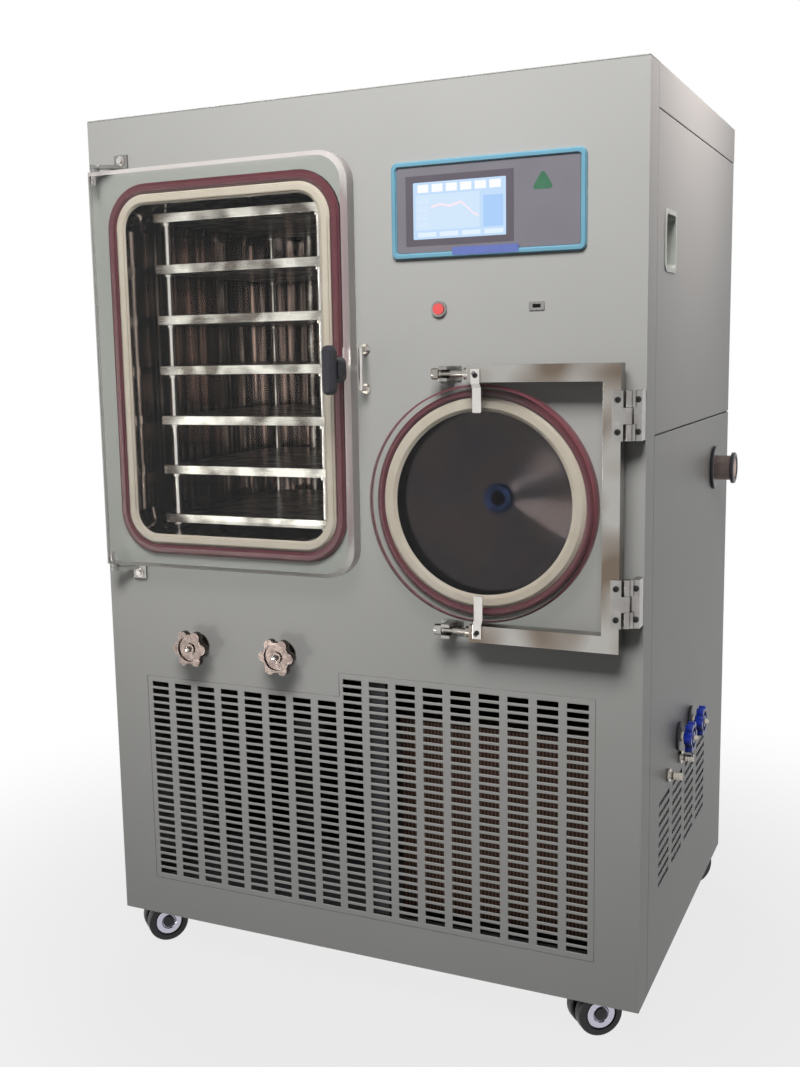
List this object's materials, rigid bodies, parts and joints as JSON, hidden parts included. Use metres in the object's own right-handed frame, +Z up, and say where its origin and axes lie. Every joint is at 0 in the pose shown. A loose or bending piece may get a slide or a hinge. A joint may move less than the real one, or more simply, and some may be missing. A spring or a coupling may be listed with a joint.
{
  "type": "freeze dryer",
  "caption": "Floor-standing pilot freeze dryer: sheet-metal cabinet on casters, shelf chamber with clear door, round cold trap with yoke-hung door, touch panel.",
  "frame": {"origin": "on the floor, under the middle of the outline seen from above", "axes": "+X to the right of someone facing the control panel, +Y to the back, +Z up"},
  "size_m": [0.998, 0.835, 1.49],
  "materials": {
    "painted_steel": "satin",
    "frame_steel": "matt",
    "stainless": "brushed",
    "polished_steel": "polished",
    "acrylic": "clear, polished",
    "dark_red_silicone": "satin",
    "cream_silicone": "satin",
    "black_plastic": "fine grain",
    "grey_plastic": "fine grain",
    "sky_blue_plastic": "satin",
    "overlay_film": "satin film",
    "screen_glass": "glass front, lit",
    "red_lens": "clear lens",
    "blue_plastic": "moulded",
    "brass": "turned",
    "port_tube": "tarnished",
    "black_enamel": "gloss enamel",
    "copper_fins": "raw",
    "tyre_rubber": "satin",
    "box_paint": "powder coat"
  },
  "bodies": {
    "cabinet": {"base_frame": "frame_steel", "caster_plates": "frame_steel", "front_panel": "painted_steel", "vent_grille": "painted_steel", "left_panel": "painted_steel", "right_upper_panel": "painted_steel", "right_lower_panel": "painted_steel", "rear_panel": "painted_steel", "top_cover": "painted_steel", "side_pull": "grey_plastic", "chamber_shell": "stainless", "chamber_outer_seal": "dark_red_silicone", "chamber_inner_seal": "cream_silicone", "shelves": "stainless", "shelf_rack": "polished_steel", "shelf_manifolds": "stainless", "door_pivots": "polished_steel", "latch_keeper": "polished_steel", "trap_shell": "stainless", "trap_outer_seal": "dark_red_silicone", "trap_inner_seal": "cream_silicone", "trap_coil": "stainless", "yoke_catches": "polished_steel", "hinge_fixed_leaves": "stainless", "control_bezel": "sky_blue_plastic", "control_overlay": "overlay_film", "touchscreen": "screen_glass", "button_bezel": "polished_steel", "data_socket": "black_plastic", "front_valve_bodies": "polished_steel", "compressors": "black_enamel", "finned_coil": "copper_fins", "fan_shroud": "black_plastic", "electrical_box": "box_paint", "fluid_tank": "stainless", "vacuum_port": "port_tube", "panel_grommets": "black_plastic", "side_valve_bodies": "brass", "cable_gland": "black_plastic"},
    "chamber_door": {"chamber_door": "acrylic"},
    "latch": {"latch_spindle": "polished_steel", "latch_knob": "black_plastic"},
    "trap_door": {"round_door": "acrylic", "yoke_frame": "stainless", "disc_clips": "polished_steel", "hinge_moving_leaves": "stainless"},
    "power_button": {"button_cap": "red_lens"},
    "vent_wheel": {"vent_handwheel": "polished_steel"},
    "drain_wheel": {"drain_handwheel": "polished_steel"},
    "side_wheel_front": {"side_handwheel_front": "blue_plastic"},
    "side_wheel_rear": {"side_handwheel_rear": "blue_plastic"},
    "fan": {"fan_rotor": "black_plastic"},
    "caster_body_fl": {"caster_fl": "black_plastic"},
    "caster_wheels_fl": {"wheels_fl": "tyre_rubber"},
    "caster_body_fr": {"caster_fr": "black_plastic"},
    "caster_wheels_fr": {"wheels_fr": "tyre_rubber"},
    "caster_body_bl": {"caster_bl": "black_plastic"},
    "caster_wheels_bl": {"wheels_bl": "tyre_rubber"},
    "caster_body_br": {"caster_br": "black_plastic"},
    "caster_wheels_br": {"wheels_br": "tyre_rubber"}
  },
  "joints": [
    {"name": "chamber_door_hinge", "type": "hinge", "parent": "cabinet", "child": "chamber_door", "pos_m": [-0.469, -0.3555, 1.063], "axis": [0, 0, -1], "range_deg": [0, 110]},
    {"name": "door_latch_turn", "type": "hinge", "parent": "chamber_door", "child": "latch", "pos_m": [-0.009, -0.3555, 1.064], "axis": [0, 1, 0], "range_deg": [0, 90]},
    {"name": "trap_door_hinge", "type": "hinge", "parent": "cabinet", "child": "trap_door", "pos_m": [0.442, -0.3615, 0.857], "axis": [0, 0, 1], "range_deg": [0, 105]},
    {"name": "power_button_press", "type": "slide", "parent": "cabinet", "child": "power_button", "axis": [0, 1, 0], "range_m": [0, 0.003], "stiffness_N_per_m": 400},
    {"name": "vent_valve_turn", "type": "hinge", "parent": "cabinet", "child": "vent_wheel", "pos_m": [-0.315, -0.3515, 0.588], "axis": [0, -1, 0], "range_deg": [0, 1080]},
    {"name": "drain_valve_turn", "type": "hinge", "parent": "cabinet", "child": "drain_wheel", "pos_m": [-0.144, -0.3515, 0.588], "axis": [0, -1, 0], "range_deg": [0, 1080]},
    {"name": "side_valve_front_turn", "type": "hinge", "parent": "cabinet", "child": "side_wheel_front", "pos_m": [0.481, -0.0515, 0.432], "axis": [1, 0, 0], "range_deg": [0, 1080]},
    {"name": "side_valve_rear_turn", "type": "hinge", "parent": "cabinet", "child": "side_wheel_rear", "pos_m": [0.481, 0.0485, 0.432], "axis": [1, 0, 0], "range_deg": [0, 1080]},
    {"name": "fan_spin", "type": "hinge", "parent": "cabinet", "child": "fan", "pos_m": [0.211, -0.2005, 0.311], "axis": [0, 1, 0], "continuous": true},
    {"name": "caster_fl_swivel", "type": "hinge", "parent": "cabinet", "child": "caster_body_fl", "pos_m": [-0.433, -0.2655, 0.084], "axis": [0, 0, 1], "continuous": true},
    {"name": "caster_fl_roll", "type": "hinge", "parent": "caster_body_fl", "child": "caster_wheels_fl", "pos_m": [-0.44772, -0.28185, 0.0375], "axis": [-0.7431, 0.6691, 0], "continuous": true},
    {"name": "caster_fr_swivel", "type": "hinge", "parent": "cabinet", "child": "caster_body_fr", "pos_m": [0.395, -0.2655, 0.084], "axis": [0, 0, 1], "continuous": true},
    {"name": "caster_fr_roll", "type": "hinge", "parent": "caster_body_fr", "child": "caster_wheels_fr", "pos_m": [0.37815, -0.27964, 0.0375], "axis": [-0.6428, 0.766, 0], "continuous": true},
    {"name": "caster_bl_swivel", "type": "hinge", "parent": "cabinet", "child": "caster_body_bl", "pos_m": [-0.433, 0.3375, 0.084], "axis": [0, 0, 1], "continuous": true},
    {"name": "caster_bl_roll", "type": "hinge", "parent": "caster_body_bl", "child": "caster_wheels_bl", "pos_m": [-0.422, 0.31845, 0.0375], "axis": [-0.866, -0.5, 0], "continuous": true},
    {"name": "caster_br_swivel", "type": "hinge", "parent": "cabinet", "child": "caster_body_br", "pos_m": [0.395, 0.3375, 0.084], "axis": [0, 0, 1], "continuous": true},
    {"name": "caster_br_roll", "type": "hinge", "parent": "caster_body_br", "child": "caster_wheels_br", "pos_m": [0.40914, 0.35435, 0.0375], "axis": [0.766, -0.6428, 0], "continuous": true}
  ]
}
